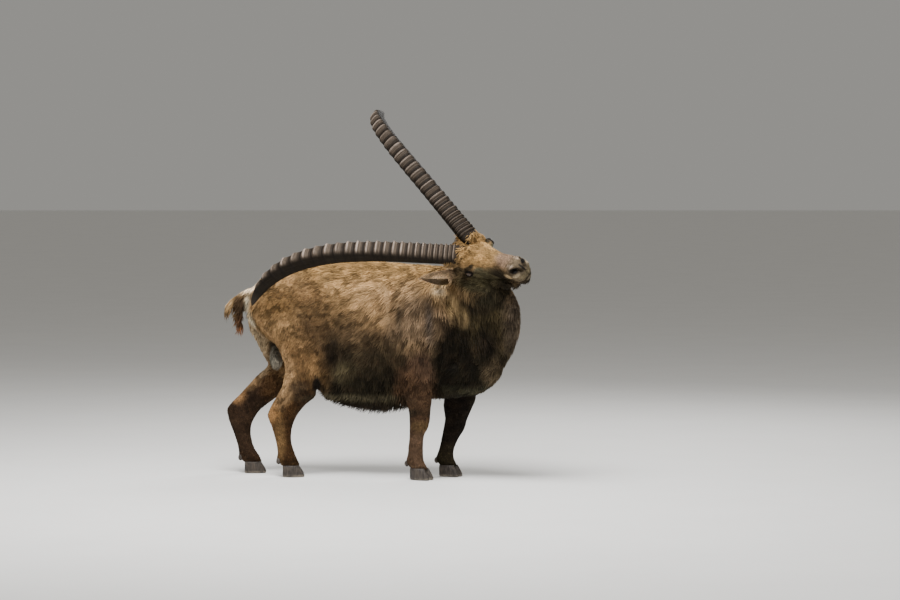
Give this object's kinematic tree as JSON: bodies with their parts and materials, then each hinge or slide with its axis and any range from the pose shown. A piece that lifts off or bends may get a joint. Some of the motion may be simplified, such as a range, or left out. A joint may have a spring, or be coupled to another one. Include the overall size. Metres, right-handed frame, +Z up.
{
  "type": "alpine ibex model",
  "caption": "Life-size standing male alpine ibex, head laid back and tilted so that one long ridged horn reaches its rump.",
  "frame": {"origin": "middle of the bounding box, on the floor under the hooves", "axes": "+Z up, +X forward along the trunk, +Y to the animal's left"},
  "size_m": [1.229, 0.8338, 1.4736],
  "materials": {
    "coat_brown": "short rough summer coat with shaggy moulting tufts, golden brown above and darker on the flank",
    "coat_dark": "short dark brown hair of the lower legs and the tail tuft",
    "horn": "matt grey-brown horn with pale worn ridges and dark tips",
    "eye": "moist and glossy, dark amber with a level slot pupil",
    "hoof": "satin blackish brown hoof"
  },
  "bodies": {
    "root": {"torso": "coat_brown", "neck": "coat_brown", "head": "coat_brown", "ear_r": "coat_brown", "ear_l": "coat_brown", "tail": "coat_dark", "forearm_r": "coat_brown", "forearm_l": "coat_brown", "thigh_r": "coat_brown", "thigh_l": "coat_brown", "shank_r": "coat_brown", "shank_l": "coat_brown", "fore_cannon_r": "coat_dark", "fore_cannon_l": "coat_dark", "hind_cannon_r": "coat_dark", "hind_cannon_l": "coat_dark", "horn_r": "horn", "horn_l": "horn", "eye_r": "eye", "eye_l": "eye", "hoof_fore_r_inner": "hoof", "hoof_fore_r_outer": "hoof", "hoof_fore_l_inner": "hoof", "hoof_fore_l_outer": "hoof", "hoof_hind_r_inner": "hoof", "hoof_hind_r_outer": "hoof", "hoof_hind_l_inner": "hoof", "hoof_hind_l_outer": "hoof"}
  },
  "joints": []
}
